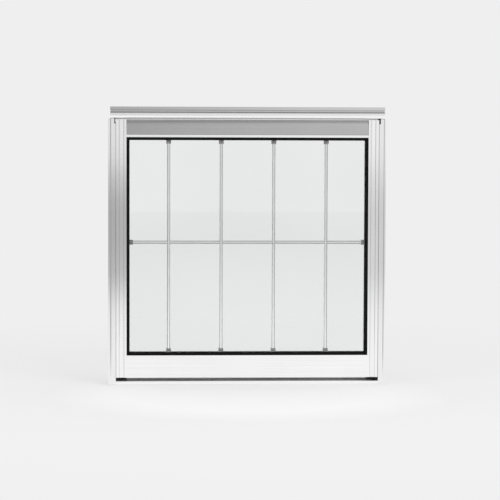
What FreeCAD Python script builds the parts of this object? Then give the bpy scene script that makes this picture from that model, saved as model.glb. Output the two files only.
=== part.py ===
"""Square aluminium window whose bottom-opening sash is pushed out by a crank.

The origin is at the middle of the sill's underside, in the plane of the outdoor face.
X runs along the sill, +Y points into the room and +Z points up. Sizes are in millimetres.
"""
import FreeCAD, Part
import os
import re
import Sketcher

SIZES = {
    # frame
    "frame_width": 750,
    "frame_height": 750,
    "frame_depth": 85,
    "frame_wall": 2.5,
    "fin_width": 6,
    "fin_depth": 20,
    "fin_thickness": 3,
    "head_height": 32,
    "head_overhang": 8,
    "head_inset": 6,
    "head_cap": 1.5,
    "head_band": 18.5,
    "head_band_round": 10,
    "head_band_ease": 3.5,
    "head_groove": 3.5,
    "head_groove_depth": 4,
    "head_cap_lean": 1.8,
    "jamb_face": 14.5,
    "jamb_return": 13,
    "jamb_edge_round": 2.4,
    "jamb_notch_width": 4,
    "jamb_notch_height": 13,
    "sill_wall": 3,
    "sill_lip": 11,
    "sill_nose": 1.5,
    "sill_nose_height": 2,
    "sill_height": 34,
    "stop_depth": 40,
    "stop_thickness": 3,
    "stop_width": 31,
    "strip_width": 8,
    "strip_gap": 0.6,
    "strip_inset": 5,
    "port_size": 7,
    "port_radius": 1.95,
    "port_depth": 60,
    "fixing_depth": 74,
    "fixing_inset": 120,
    "fixing_radius": 2.6,
    # sash
    "sash_gap": 1,
    "sash_low_gap": 10,
    "sash_top_gap": 2.5,
    "sash_depth": 36,
    "relief_depth": 6,
    "relief_height": 8,
    "stile_width": 28,
    "stile_flange": 7.5,
    "stile_flange_thickness": 3.5,
    "stile_bead": 8,
    "stile_lip": 6.5,
    "stile_recess": 1.5,
    "top_rail_height": 47,
    "top_rail_setback": 4,
    "top_rail_slope": 2.4,
    "top_rail_shoulder": 4.2,
    "top_rail_shoulder_height": 13,
    "top_port_behind_face": 4,
    "bottom_port_depth": 15.5,
    "bottom_rail_height": 60,
    "rail_wall": 3,
    "lip_thickness": 6,
    "rebate_width": 10.5,
    "glass_clearance": 2,
    "gasket_width": 8,
    "gasket_proud": 3,
    "gasket_seat": 2.5,
    "gasket_bevel": 2,
    "pane_thickness": 3,
    "glass_cavity": 14,
    "spacer_width": 12,
    "tape_thickness": 1.5,
    "bead_bevel": 3,
    "muntin_pitch": 141.6,
    "muntin_width": 8,
    "muntin_depth": 6,
    "muntin_round": 1.5,
    "muntin_rise": 11,
    "clip_width": 13,
    "clip_length": 14,
    "clip_depth": 9,
    "setting_block_length": 60,
    "plug_height": 6.5,
    # side support arms and shoes
    "opening_angle": 26,
    "pivot_depth": 28,
    "pivot_drop": 10.5,
    "support_inset": 5,
    "support_thickness": 3,
    "support_width": 14,
    "support_eye": 8,
    "pivot_radius": 4,
    "pivot_tail": 3.5,
    "pivot_collar": 7,
    "pivot_head": 2,
    "shoe_pin_radius": 3,
    "track_width": 18,
    "track_height": 10,
    "track_wall": 2,
    "track_lip": 1.5,
    "track_slot": 8,
    "track_length": 118,
    "shoe_length": 20,
    # crank operator
    "operator_depth": 66,
    "operator_width": 116,
    "operator_base": 3,
    "cover_width": 100,
    "cover_front": 52,
    "cover_height": 26,
    "cover_wall": 2,
    "gear_teeth": 34,
    "gear_radius": 21,
    "worm_radius": 7,
    "gear_addendum": 1.1,
    "gear_dedendum": 1.3,
    "gear_width": 6,
    "gear_tip_width": 0.8,
    "gear_root_width": 1.9,
    "gear_lift": 10,
    "hub_radius": 9,
    "hub_height": 7,
    "arm_length": 300,
    "arm_width": 12,
    "arm_thickness": 3.5,
    "arm_eye": 7.5,
    "arm_gap": 0.5,
    "link_width": 10,
    "eye_slack": 1.2,
    "swivel_depth": 47,
    "swivel_height": 6.5,
    "swivel_width": 75,
    "swivel_thickness": 7,
    "swivel_tall": 6,
    "swivel_pin": 2.5,
    "swivel_pin_top": 23,
    "bracket_thickness": 2.5,
    "bracket_width": 116,
    "bracket_ear": 3,
    "bracket_eye": 5,
    "worm_height": 13,
    "worm_turns": 4,
    "worm_nose": 3,
    "worm_journal": 5,
    "worm_collar": 6.5,
    "worm_end": 4,
    "bush_wall": 1.8,
    "bush_length": 5,
    # crank handle
    "crank_length": 50,
    "crank_hub": 9,
    "crank_hub_length": 12,
    "crank_gap": 2,
    "crank_thickness": 6,
    "crank_boss": 7,
    "knob_radius": 9,
    "knob_length": 23,
    "knob_pin": 2.5,
    # fits and fasteners
    "running_fit": 0.05,
    "free_gap": 0.4,
    "screw_radius": 1.9,
    "screw_head": 3.4,
    "screw_head_height": 1.2,
    "screw_length": 16,
}

DOC = FreeCAD.newDocument("CrankWindow")
SHEET = DOC.addObject("Spreadsheet::Sheet", "Sizes")
for row, (alias, number) in enumerate(SIZES.items(), start=1):
    SHEET.set(f"A{row}", alias)
    SHEET.set(f"B{row}", str(number))
    SHEET.setAlias(f"B{row}", alias)
DOC.recompute()

ALIAS = re.compile(r"\b(" + "|".join(SIZES) + r")\b")
PIECES = {}
LEFT, RIGHT = -1, 1
SIDES = {"left": LEFT, "right": RIGHT}

# lines across the frame, measured from the middle
HALF = "(frame_width / 2)"
JAMB_OUT = f"({HALF} - fin_width)"
JAMB_IN = f"({JAMB_OUT} - frame_wall)"
LIP = f"({JAMB_OUT} - jamb_face)"
STOP = f"({JAMB_OUT} - stop_width)"
HEAD_END = f"({HALF} - head_inset)"
SASH_EDGE = f"({LIP} - sash_gap)"
STILE_SIDE = f"({SASH_EDGE} - stile_flange)"
STILE_IN = f"({SASH_EDGE} - stile_width)"
REBATE = f"({STILE_IN} + rebate_width)"
GLASS_SIDE = f"({REBATE} - glass_clearance)"
DAYLIGHT = f"({STILE_IN} - gasket_width)"
SPACER_SIDE = f"({GLASS_SIDE} - spacer_width)"

# levels above the sill's underside
HEAD_LOW = "(frame_height - head_height)"
SASH_LOW = "(sill_lip + sash_low_gap)"
SASH_TOP = f"({HEAD_LOW} - sash_top_gap)"
OPEN_LOW = f"({SASH_LOW} + bottom_rail_height)"
OPEN_TOP = f"({SASH_TOP} - top_rail_height)"
REBATE_LOW = f"({OPEN_LOW} - rebate_width)"
REBATE_TOP = f"({OPEN_TOP} + rebate_width)"
GLASS_LOW = f"({REBATE_LOW} + glass_clearance)"
GLASS_TOP = f"({REBATE_TOP} - glass_clearance)"
SPACER_LOW = f"({GLASS_LOW} + spacer_width)"
SPACER_TOP = f"({GLASS_TOP} - spacer_width)"
CROSSBAR = f"(({OPEN_LOW} + {OPEN_TOP}) / 2 + muntin_rise)"

# planes through the depth of the window
STOP_BACK = "(stop_depth + stop_thickness)"
STRIP_FACE = "(sash_depth + strip_gap)"
PANE_FRONT = "(lip_thickness + gasket_seat)"
CAVITY = f"({PANE_FRONT} + pane_thickness)"
CAVITY_BACK = f"({CAVITY} + glass_cavity)"
PANE_BACK = f"({CAVITY_BACK} + pane_thickness)"
BEAD_FRONT = f"({PANE_BACK} + tape_thickness)"
MUNTIN_MIDDLE = f"({CAVITY} + glass_cavity / 2)"

# The sash hangs on two shoes and two support arms. An arm is half as long as the height
# from its frame pivot to the shoe, so the shoes run straight down the tracks. That height
# brings the operator bracket back to its own level when the sash is fully open.
SHOE_LEVEL = f"({SASH_TOP} - pivot_drop)"
SWIVEL_LEVEL = "(sill_height + swivel_height)"
OPEN_LIFT = "(sin(opening_angle) / (1 - cos(opening_angle)))"
SUPPORT_SPAN = f"({SHOE_LEVEL} - {SWIVEL_LEVEL} - (swivel_depth - pivot_depth) * {OPEN_LIFT})"
STUD_LEVEL = f"({SHOE_LEVEL} - {SUPPORT_SPAN})"
ARM_LEVEL = f"({SHOE_LEVEL} - {SUPPORT_SPAN} / 2)"
SUPPORT_OUT = f"({LIP} - support_inset + running_fit * 20)"
SUPPORT_IN = f"({SUPPORT_OUT} - support_thickness)"

# crank operator on the sill
BASE_TOP = "(sill_height + operator_base)"
ARM_LOW = "(sill_height + gear_lift)"
ARM_TOP = f"({ARM_LOW} + arm_thickness)"
LINK_LOW = f"({ARM_TOP} + arm_gap)"
LINK_TOP = f"({LINK_LOW} + arm_thickness)"
HUB_TOP = f"({ARM_LOW} + hub_height)"
COVER_TOP = "(sill_height + cover_height)"
WORM_LEVEL = "(sill_height + worm_height)"
ARM_REST = "(asin((operator_depth - swivel_depth - eye_slack) / (2 * arm_length)) / 1deg)"
TOOTH_STEP = "(360 / gear_teeth)"
WORM_PITCH = "(2 * pi * gear_radius / gear_teeth)"
GEAR_CENTRE = "(gear_radius + worm_radius)"
WORM_ROOT = "(worm_radius - gear_dedendum)"
WORM_TIP = "(worm_radius + gear_addendum - running_fit * 2)"
BUSH_OUT = "(worm_journal + running_fit + bush_wall)"
COVER_REAR = "(frame_depth - cover_wall)"
CRANK_BACK = "(frame_depth + crank_gap)"
CRANK_TIP = f"({CRANK_BACK} + crank_hub_length)"


def linked(expression):
    """The same expression with every size read from the sheet."""
    return ALIAS.sub(r"Sizes.\1", expression)


def value(expression):
    """What an expression comes to now."""
    return float(SHEET.evalExpression(expression))


def keep(name, item):
    """Register a finished sub-part under its own label."""
    item.Label = name
    PIECES[name] = item
    return item


def bind(item, **expressions):
    """Tie properties to size expressions; x, y and z are the position."""
    for target, expression in expressions.items():
        if target in ("x", "y", "z"):
            target = "Placement.Base." + target
        item.setExpression(target, linked(str(expression)))
    return item


def span(side, near, far):
    """Low and high ends of a stretch that lies on one side of the middle."""
    if side == RIGHT:
        return near, far
    return f"-({far})", f"-({near})"


def box(name, across, deep, high):
    """Block between two expressions on each axis."""
    block = DOC.addObject("Part::Box", name)
    return bind(
        block,
        Length=f"({across[1]}) - ({across[0]})",
        Width=f"({deep[1]}) - ({deep[0]})",
        Height=f"({high[1]}) - ({high[0]})",
        x=across[0],
        y=deep[0],
        z=high[0],
    )


AXES = {
    "+X": FreeCAD.Vector(1, 0, 0),
    "-X": FreeCAD.Vector(-1, 0, 0),
    "+Y": FreeCAD.Vector(0, 1, 0),
    "+Z": FreeCAD.Vector(0, 0, 1),
}


def rod(name, axis, start, radius, length):
    """Cylinder that leaves its start point along an axis."""
    cylinder = DOC.addObject("Part::Cylinder", name)
    turn = FreeCAD.Rotation(AXES["+Z"], AXES[axis])
    cylinder.Placement = FreeCAD.Placement(FreeCAD.Vector(), turn)
    return bind(cylinder, Radius=radius, Height=length, x=start[0], y=start[1], z=start[2])


def side_rod(name, side, near, far, deep, level, radius):
    """Cylinder along X between two distances from the middle."""
    axis = "+X" if side == RIGHT else "-X"
    return rod(name, axis, (f"{side} * ({near})", deep, level), radius, f"({far}) - ({near})")


def joined(name, *shapes):
    """One solid made of touching or crossing shapes."""
    union = DOC.addObject("Part::MultiFuse", name)
    union.Shapes = list(shapes)
    return union


def group(name, shapes):
    """Identical pieces kept together as separate solids."""
    compound = DOC.addObject("Part::Compound", name)
    compound.Links = list(shapes)
    return compound


def cut(name, base, *tools):
    """A shape with others taken away from it."""
    difference = DOC.addObject("Part::Cut", name)
    difference.Base = base
    difference.Tool = tools[0] if len(tools) == 1 else group(name + "_tools", tools)
    return difference


def origin_item(body, role):
    """One of a body's own origin planes or axes."""
    return next(item for item in body.Origin.OriginFeatures if item.Role == role)


def pin_point(sketch, index, point, u, v):
    """Hold one point of a sketch at two size expressions."""
    for kind, expression in (("DistanceX", u), ("DistanceY", v)):
        rule = Sketcher.Constraint(kind, -1, 1, index, point, value(expression))
        place = sketch.addConstraint(rule)
        sketch.setExpression(f"Constraints[{place}]", linked(expression))


def add_outline(sketch, corners):
    """Closed polygon whose corners follow size expressions."""
    points = [FreeCAD.Vector(value(u), value(v), 0) for u, v in corners]
    first = sketch.GeometryCount
    count = len(points)
    for index in range(count):
        sketch.addGeometry(Part.LineSegment(points[index], points[(index + 1) % count]), False)
    for index in range(count):
        following = first + (index + 1) % count
        sketch.addConstraint(Sketcher.Constraint("Coincident", first + index, 2, following, 1))
    for index, (u, v) in enumerate(corners):
        pin_point(sketch, first + index, 1, u, v)


def add_circle(sketch, u, v, radius):
    """Circle whose centre and radius follow size expressions."""
    centre = FreeCAD.Vector(value(u), value(v), 0)
    index = sketch.addGeometry(Part.Circle(centre, AXES["+Z"], value(radius)), False)
    pin_point(sketch, index, 3, u, v)
    place = sketch.addConstraint(Sketcher.Constraint("Radius", index, value(radius)))
    sketch.setExpression(f"Constraints[{place}]", linked(radius))


def new_sketch(body, name, plane, outlines, circles=()):
    """Sketch on one of a body's own origin planes."""
    sketch = body.newObject("Sketcher::SketchObject", name)
    sketch.AttachmentSupport = [(origin_item(body, plane + "_Plane"), "")]
    sketch.MapMode = "FlatFace"
    for corners in outlines:
        add_outline(sketch, corners)
    for u, v, radius in circles:
        add_circle(sketch, u, v, radius)
    return sketch


NORMALS = {"XY": "z", "YZ": "x", "XZ": "y"}


def extrusion(name, plane, outlines, low, high, circles=()):
    """Profile pushed from one expression to another along its plane's normal."""
    body = DOC.addObject("PartDesign::Body", name)
    sketch = new_sketch(body, name + "_profile", plane, outlines, circles)
    pad = body.newObject("PartDesign::Pad", name + "_pad")
    pad.Profile = sketch
    pad.Reversed = plane == "XZ"
    bind(pad, Length=f"({high}) - ({low})")
    bind(body, **{NORMALS[plane]: low})
    return body


def turned(name, outline, deep, across="0", level="0"):
    """Body of revolution about a line along +Y; outline holds (radius, distance) pairs."""
    body = DOC.addObject("PartDesign::Body", name)
    sketch = new_sketch(body, name + "_profile", "XZ", [outline])
    revolution = body.newObject("PartDesign::Revolution", name + "_turn")
    revolution.Profile = sketch
    revolution.ReferenceAxis = (origin_item(body, "Z_Axis"), [""])
    revolution.Angle = 360
    body.Placement.Rotation = FreeCAD.Rotation(AXES["+Z"], AXES["+Y"])
    bind(body, x=across, y=deep, z=level)
    return body


# ---------------------------------------------------------------- frame

def jamb_profile(name, side, low, high, filled=False):
    """Outdoor lip, fin, inner stop, indoor return and two screw ports, left unbored if filled."""
    port_edge = f"({JAMB_IN} - port_size)"
    back_port = "(port_depth + port_size)"
    front_port = "(frame_wall + port_size)"
    corners = [
        (LIP, "0"),
        (f"{JAMB_OUT} - jamb_edge_round", "0"),
        (f"{JAMB_OUT} - jamb_edge_round * 0.3", "jamb_edge_round * 0.3"),
        (JAMB_OUT, "jamb_edge_round"),
        (JAMB_OUT, "fin_depth"),
        (HALF, "fin_depth"),
        (HALF, "fin_depth + fin_thickness"),
        (JAMB_OUT, "fin_depth + fin_thickness"),
        (JAMB_OUT, "frame_depth"),
        (f"{JAMB_OUT} - jamb_return", "frame_depth"),
        (f"{JAMB_OUT} - jamb_return", "frame_depth - frame_wall"),
        (JAMB_IN, "frame_depth - frame_wall"),
        (JAMB_IN, back_port),
        (port_edge, back_port),
        (port_edge, "port_depth"),
        (JAMB_IN, "port_depth"),
        (JAMB_IN, STOP_BACK),
        (STOP, STOP_BACK),
        (STOP, "stop_depth"),
        (JAMB_IN, "stop_depth"),
        (JAMB_IN, front_port),
        (port_edge, front_port),
        (port_edge, "frame_wall"),
        (LIP, "frame_wall"),
    ]
    mirrored = [(f"{side} * ({x})", y) for x, y in corners]
    centre = f"{side} * ({JAMB_IN} - port_size / 2)"
    ports = [
        (centre, "frame_wall + port_size / 2", "port_radius"),
        (centre, "port_depth + port_size / 2", "port_radius"),
    ]
    return extrusion(name, "XY", [mirrored], low, high, [] if filled else ports)


JAMB_PORTS = {
    "front": "(frame_wall + port_size / 2)",
    "rear": "(port_depth + port_size / 2)",
}
SILL_PORTS = {
    "front": f"({STOP_BACK} + port_size / 2)",
    "rear": "(frame_depth - sill_wall - port_size / 2)",
}
SILL_PORT_LEVEL = "(sill_wall + port_size / 2)"
RIVET_LEVELS = ("8", "22")
TRACK_TOP = f"({HEAD_LOW} - free_gap)"
TRACK_LOW = f"({TRACK_TOP} - track_length)"


def jamb_holes(name, side):
    """Sill screw, fixing, support stud and track rivet holes through the outer wall."""
    inside = f"{JAMB_IN} - 1"
    outside = f"{JAMB_OUT} + 1"
    clearance = "screw_radius + running_fit"
    holes = []
    for place, deep in SILL_PORTS.items():
        label = f"{name}_{place}_sill_hole"
        holes.append(side_rod(label, side, inside, outside, deep, SILL_PORT_LEVEL, clearance))
    for place, level in (("low", "fixing_inset"), ("high", "frame_height - fixing_inset")):
        label = f"{name}_{place}_fixing_hole"
        hole = side_rod(label, side, inside, outside, "fixing_depth", level, "fixing_radius")
        holes.append(hole)
    stud = "pivot_tail + running_fit"
    holes.append(
        side_rod(f"{name}_stud_hole", side, inside, outside, "pivot_depth", STUD_LEVEL, stud)
    )
    for number, rise in enumerate(RIVET_LEVELS, start=1):
        label = f"{name}_rivet_hole_{number}"
        level = f"{TRACK_LOW} + {rise}"
        holes.append(side_rod(label, side, inside, outside, "pivot_depth", level, clearance))
    return holes


def build_jambs():
    """Two uprights, each with a short notch in its lip under the head."""
    for word, side in SIDES.items():
        name = f"jamb_{word}"
        bar = jamb_profile(f"{name}_bar", side, "0", HEAD_LOW)
        notch = box(
            f"{name}_notch",
            span(side, f"{LIP} - 1", f"{LIP} + jamb_notch_width"),
            ("-1", "frame_wall + 0.001"),
            (f"{HEAD_LOW} - jamb_notch_height", f"{HEAD_LOW} + 1"),
        )
        keep(name, cut(name, bar, notch, *jamb_holes(name, side)))


def head_outline():
    """Outdoor drip band, groove, top band and the stop behind the sash."""
    band_top = f"({HEAD_LOW} + head_band)"
    groove_top = f"({band_top} + head_groove)"
    groove_back = "(head_groove_depth - head_overhang)"
    return [
        ("-head_overhang", HEAD_LOW),
        ("-head_overhang", band_top),
        (groove_back, band_top),
        (groove_back, groove_top),
        ("-head_overhang", groove_top),
        ("head_cap_lean - head_overhang", "frame_height - 0.6"),
        ("head_cap_lean - head_overhang + 0.6", "frame_height"),
        ("frame_depth", "frame_height"),
        ("frame_depth", HEAD_LOW),
    ]


def round_band(body, name):
    """Round the drip band's two long outdoor edges."""
    front = -value("head_overhang")
    edges = (("low", HEAD_LOW, "head_band_round"),
             ("high", f"({HEAD_LOW} + head_band)", "head_band_ease"))
    for place, level, radius in edges:
        DOC.recompute()
        tip = body.Tip
        for index, edge in enumerate(tip.Shape.Edges, start=1):
            ends = edge.BoundBox
            along = abs(ends.XLength - tip.Shape.BoundBox.XLength) < 0.001
            at_front = max(abs(ends.YMin - front), abs(ends.YMax - front)) < 0.001
            if along and at_front and abs(ends.ZMin - value(level)) < 0.001:
                break
        fillet = body.newObject("PartDesign::Fillet", f"{name}_{place}")
        fillet.Base = (tip, [f"Edge{index}"])
        bind(fillet, Radius=radius)
        body.Tip = fillet


def build_head():
    """Hollow head rail with a cap on each end."""
    stop_low = f"({HEAD_LOW} - stop_width + jamb_return)"
    outline = head_outline() + [
        (STOP_BACK, HEAD_LOW),
        (STOP_BACK, stop_low),
        ("stop_depth", stop_low),
        ("stop_depth", HEAD_LOW),
    ]
    hollow_front = "(head_groove_depth - head_overhang + frame_wall)"
    hollow_back = "(frame_depth - frame_wall)"
    hollow = [
        (hollow_front, f"{HEAD_LOW} + frame_wall"),
        (hollow_back, f"{HEAD_LOW} + frame_wall"),
        (hollow_back, "frame_height - frame_wall"),
        (hollow_front, "frame_height - frame_wall"),
    ]
    end = f"({HEAD_END} - head_cap)"
    bar = extrusion("head_bar", "YZ", [outline, hollow], f"-{end}", end)
    round_band(bar, "head_bar_round")
    holes = []
    for word, side in SIDES.items():
        for place, deep in JAMB_PORTS.items():
            x = f"{side} * ({JAMB_IN} - port_size / 2)"
            start = (x, deep, f"{HEAD_LOW} - 1")
            label = f"head_{word}_{place}_hole"
            holes.append(rod(label, "+Z", start, "screw_radius + running_fit", "frame_wall + 2"))
    coping = [jamb_profile(f"head_cope_{word}", side, "0", HEAD_LOW) for word, side in SIDES.items()]
    keep("head_rail", cut("head_rail", bar, *holes, *coping))
    caps = []
    for word, side in SIDES.items():
        low, high = span(side, end, HEAD_END)
        cap = extrusion(f"head_cap_{word}", "YZ", [head_outline()], low, high)
        round_band(cap, f"head_cap_{word}_round")
        caps.append(cap)
    keep("head_end_caps", group("head_end_caps", caps))


def build_sill():
    """Outdoor lip, low drain pan, upstand and hollow stool, coped to the jambs."""
    outline = [
        ("-sill_nose", "0"),
        ("frame_depth", "0"),
        ("frame_depth", "sill_height"),
        ("stop_depth", "sill_height"),
        ("stop_depth", "sill_wall"),
        ("sill_wall", "sill_wall"),
        ("sill_wall", "sill_lip"),
        ("0", "sill_lip"),
        ("0", "sill_nose_height"),
        ("-sill_nose", "sill_nose_height"),
    ]
    front = STOP_BACK
    rear = "(frame_depth - sill_wall)"
    ceiling = "(sill_height - sill_wall)"
    port_top = "(sill_wall + port_size)"
    hollow = [
        (front, port_top),
        (f"{front} + port_size", port_top),
        (f"{front} + port_size", "sill_wall"),
        (f"{rear} - port_size", "sill_wall"),
        (f"{rear} - port_size", port_top),
        (rear, port_top),
        (rear, ceiling),
        (front, ceiling),
    ]
    ports = [(deep, SILL_PORT_LEVEL, "port_radius") for deep in SILL_PORTS.values()]
    bar = extrusion("sill_bar", "YZ", [outline, hollow], f"-{JAMB_IN}", JAMB_IN, ports)
    coping = [jamb_profile(f"sill_cope_{word}", side, "-1", "sill_height + 1", filled=True)
              for word, side in SIDES.items()]
    holes = []
    for number, (x, y) in enumerate(OPERATOR_SCREWS, start=1):
        start = (x, y, f"{ceiling} - 1")
        radius = "screw_radius + running_fit"
        holes.append(rod(f"stool_hole_{number}", "+Z", start, radius, "sill_wall + 2"))
    keep("sill_rail", cut("sill_rail", bar, *coping, *holes))


def build_frame_screws():
    """Head screws stand in the jamb ports, sill screws lie in the sill ports."""
    screws = []
    for word, side in SIDES.items():
        for place, deep in JAMB_PORTS.items():
            name = f"head_screw_{word}_{place}"
            x = f"{side} * ({JAMB_IN} - port_size / 2)"
            seat = f"({HEAD_LOW} + frame_wall)"
            shank = rod(name + "_shank", "+Z", (x, deep, f"{seat} - screw_length"),
                        "screw_radius", "screw_length")
            dome = rod(name + "_head", "+Z", (x, deep, seat), "screw_head", "screw_head_height")
            screws.append(joined(name, shank, dome))
        for place, deep in SILL_PORTS.items():
            name = f"sill_screw_{word}_{place}"
            shank = side_rod(name + "_shank", side, f"{JAMB_OUT} - screw_length", JAMB_OUT,
                             deep, SILL_PORT_LEVEL, "screw_radius")
            dome = side_rod(name + "_head", side, JAMB_OUT, f"{JAMB_OUT} + screw_head_height",
                            deep, SILL_PORT_LEVEL, "screw_head")
            screws.append(joined(name, shank, dome))
    keep("frame_screws", group("frame_screws", screws))


def strip_outline(middle):
    """Bulb of a weatherstrip, seen along its length: (depth, offset) pairs."""
    return [
        ("stop_depth", f"{middle} - strip_width / 2"),
        ("stop_depth", f"{middle} + strip_width / 2"),
        ("stop_depth - 1.5", f"{middle} + strip_width / 2"),
        (STRIP_FACE, f"{middle} + strip_width / 4"),
        (STRIP_FACE, f"{middle} - strip_width / 4"),
        ("stop_depth - 1.5", f"{middle} - strip_width / 2"),
    ]


def build_weatherstrips():
    """Rubber strips on the stops, all round behind the sash."""
    end = f"({STOP} - 0.5)"
    head = strip_outline(f"({HEAD_LOW} - strip_inset - strip_width / 2)")
    keep("weatherstrip_head", extrusion("weatherstrip_head", "YZ", [head], f"-{end}", end))
    sill = strip_outline("(sill_height - 1 - strip_width / 2)")
    keep("weatherstrip_sill", extrusion("weatherstrip_sill", "YZ", [sill], f"-{end}", end))
    strips = []
    for word, side in SIDES.items():
        middle = f"({STOP} + strip_width / 2)"
        outline = [(f"{side} * ({x})", y) for y, x in strip_outline(middle)]
        low = f"({SASH_LOW} + 3)"
        high = f"({HEAD_LOW} - strip_inset)"
        strips.append(extrusion(f"weatherstrip_{word}", "XY", [outline], low, high))
    keep("weatherstrip_jambs", group("weatherstrip_jambs", strips))


def build_tracks():
    """Slotted channels on the jambs that guide the shoes."""
    front = "(pivot_depth - track_width / 2)"
    rear = "(pivot_depth + track_width / 2)"
    mouth = f"({JAMB_IN} - track_height)"
    floor = f"({JAMB_IN} - track_wall)"
    shelf = f"({mouth} + track_lip)"
    corners = [
        (JAMB_IN, front),
        (JAMB_IN, rear),
        (mouth, rear),
        (mouth, "pivot_depth + track_slot / 2"),
        (shelf, "pivot_depth + track_slot / 2"),
        (shelf, f"{rear} - track_wall"),
        (floor, f"{rear} - track_wall"),
        (floor, f"{front} + track_wall"),
        (shelf, f"{front} + track_wall"),
        (shelf, "pivot_depth - track_slot / 2"),
        (mouth, "pivot_depth - track_slot / 2"),
        (mouth, front),
    ]
    rivets = []
    for word, side in SIDES.items():
        name = f"track_{word}"
        mirrored = [(f"{side} * ({x})", y) for x, y in corners]
        channel = extrusion(f"{name}_channel", "XY", [mirrored], TRACK_LOW, TRACK_TOP)
        holes = []
        for number, rise in enumerate(RIVET_LEVELS, start=1):
            level = f"({TRACK_LOW} + {rise})"
            label = f"{name}_hole_{number}"
            holes.append(side_rod(label, side, f"{floor} - 1", f"{JAMB_IN} + 1",
                                  "pivot_depth", level, "screw_radius + running_fit"))
            shank = side_rod(f"{name}_rivet_shank_{number}", side, floor, JAMB_OUT,
                             "pivot_depth", level, "screw_radius")
            dome = side_rod(f"{name}_rivet_head_{number}", side, f"{floor} - screw_head_height",
                            floor, "pivot_depth", level, "screw_head")
            rivets.append(joined(f"{name}_rivet_{number}", shank, dome))
        keep(name, cut(name, channel, *holes))
    keep("track_rivets", group("track_rivets", rivets))


def build_support_studs():
    """Shouldered studs on the jambs that carry the lower ends of the support arms."""
    studs = []
    for word, side in SIDES.items():
        name = f"support_stud_{word}"
        shoulder = f"({SUPPORT_OUT} + free_gap)"
        pin = side_rod(name + "_pin", side, f"{SUPPORT_IN} + 0.2", shoulder,
                       "pivot_depth", STUD_LEVEL, "pivot_radius")
        spacer = side_rod(name + "_spacer", side, shoulder, JAMB_IN,
                          "pivot_depth", STUD_LEVEL, "pivot_collar")
        tail = side_rod(name + "_tail", side, JAMB_IN, JAMB_OUT,
                        "pivot_depth", STUD_LEVEL, "pivot_tail")
        studs.append(joined(name, pin, spacer, tail))
    keep("support_studs", group("support_studs", studs))


# ---------------------------------------------------------------- sash

TOP_PORT_FRONT = "(top_rail_setback + top_rail_slope + top_port_behind_face)"
STILE_SCREWS = {
    "low": ("bottom_port_depth", f"({REBATE_LOW} - rail_wall - port_size / 2)"),
    "high": (f"({TOP_PORT_FRONT} + port_size / 2)",
             f"({REBATE_TOP} + rail_wall + port_size / 2)"),
}


def stile_profile(name, side, low, high, filled=False):
    """Outer bead, recessed face, glazing lip, rebate and body; the recess is left out if filled."""
    recess = [
        (f"{SASH_EDGE} - stile_bead", "0"),
        (f"{SASH_EDGE} - stile_bead - 1", "stile_recess"),
        (f"{STILE_IN} + stile_lip + 1", "stile_recess"),
        (f"{STILE_IN} + stile_lip", "0"),
    ]
    corners = [
        (SASH_EDGE, "0"),
        *([] if filled else recess),
        (STILE_IN, "0"),
        (STILE_IN, "lip_thickness"),
        (REBATE, "lip_thickness"),
        (REBATE, "sash_depth"),
        (STILE_SIDE, "sash_depth"),
        (STILE_SIDE, "stile_flange_thickness"),
        (SASH_EDGE, "stile_flange_thickness"),
    ]
    mirrored = [(f"{side} * ({x})", y) for x, y in corners]
    return extrusion(name, "XY", [mirrored], low, high)


def top_relief(name):
    """Wedge off the sash's upper indoor edge, which lets it roll past the weatherstrip."""
    corners = [
        ("sash_depth - relief_depth * 1.5", f"{SASH_TOP} + relief_height / 2"),
        ("sash_depth + relief_depth / 2", f"{SASH_TOP} + relief_height / 2"),
        ("sash_depth + relief_depth / 2", f"{SASH_TOP} - relief_height * 1.5"),
    ]
    return extrusion(name, "YZ", [corners], f"-{HALF}", HALF)


def build_stiles():
    """Full-height sash uprights, bored for the rail screws and the pivots."""
    for word, side in SIDES.items():
        name = f"stile_{word}"
        bar = stile_profile(f"{name}_bar", side, SASH_LOW, SASH_TOP)
        holes = []
        for place, (deep, level) in STILE_SCREWS.items():
            holes.append(side_rod(f"{name}_{place}_hole", side, f"{REBATE} - 1",
                                  f"{STILE_SIDE} + 1", deep, level, "screw_radius + running_fit"))
        for place, level in (("shoe", SHOE_LEVEL), ("arm", ARM_LEVEL)):
            holes.append(side_rod(f"{name}_{place}_hole", side, PIVOT_TAIL_END,
                                  f"{STILE_SIDE} + 1", "pivot_depth", level,
                                  "pivot_tail + running_fit"))
        keep(name, cut(name, bar, top_relief(f"{name}_relief"), *holes))


PIVOT_TAIL_END = f"({STILE_SIDE} - 7)"


def build_top_rail():
    """Sloping recessed face over a proud glazing lip, hollow behind."""
    lip_top = f"({OPEN_TOP} + stile_lip)"
    foot = f"({REBATE_TOP} + rail_wall)"
    outline = [
        ("1", OPEN_TOP),
        ("1", lip_top),
        ("top_rail_setback", f"{lip_top} + 1"),
        ("top_rail_setback + top_rail_slope", f"{SASH_TOP} - top_rail_shoulder_height"),
        ("top_rail_setback + top_rail_slope + top_rail_shoulder", SASH_TOP),
        ("sash_depth", SASH_TOP),
        ("sash_depth", REBATE_TOP),
        ("lip_thickness", REBATE_TOP),
        ("lip_thickness", OPEN_TOP),
    ]
    front = TOP_PORT_FRONT
    rear = "(sash_depth - rail_wall)"
    ceiling = f"({SASH_TOP} - relief_height - 1)"
    hollow = [
        (f"{front} + port_size", foot),
        (rear, foot),
        (rear, ceiling),
        (front, ceiling),
        (front, f"{foot} + port_size"),
        (f"{front} + port_size", f"{foot} + port_size"),
    ]
    port = [(*STILE_SCREWS["high"], "port_radius")]
    bar = extrusion("top_rail_bar", "YZ", [outline, hollow], f"-{REBATE}", REBATE, port)
    coping = [stile_profile(f"top_cope_{word}", side, f"{SASH_LOW} - 1", f"{SASH_TOP} + 1",
                            filled=True)
              for word, side in SIDES.items()]
    keep("top_rail", cut("top_rail", bar, top_relief("top_rail_relief"), *coping))


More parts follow.
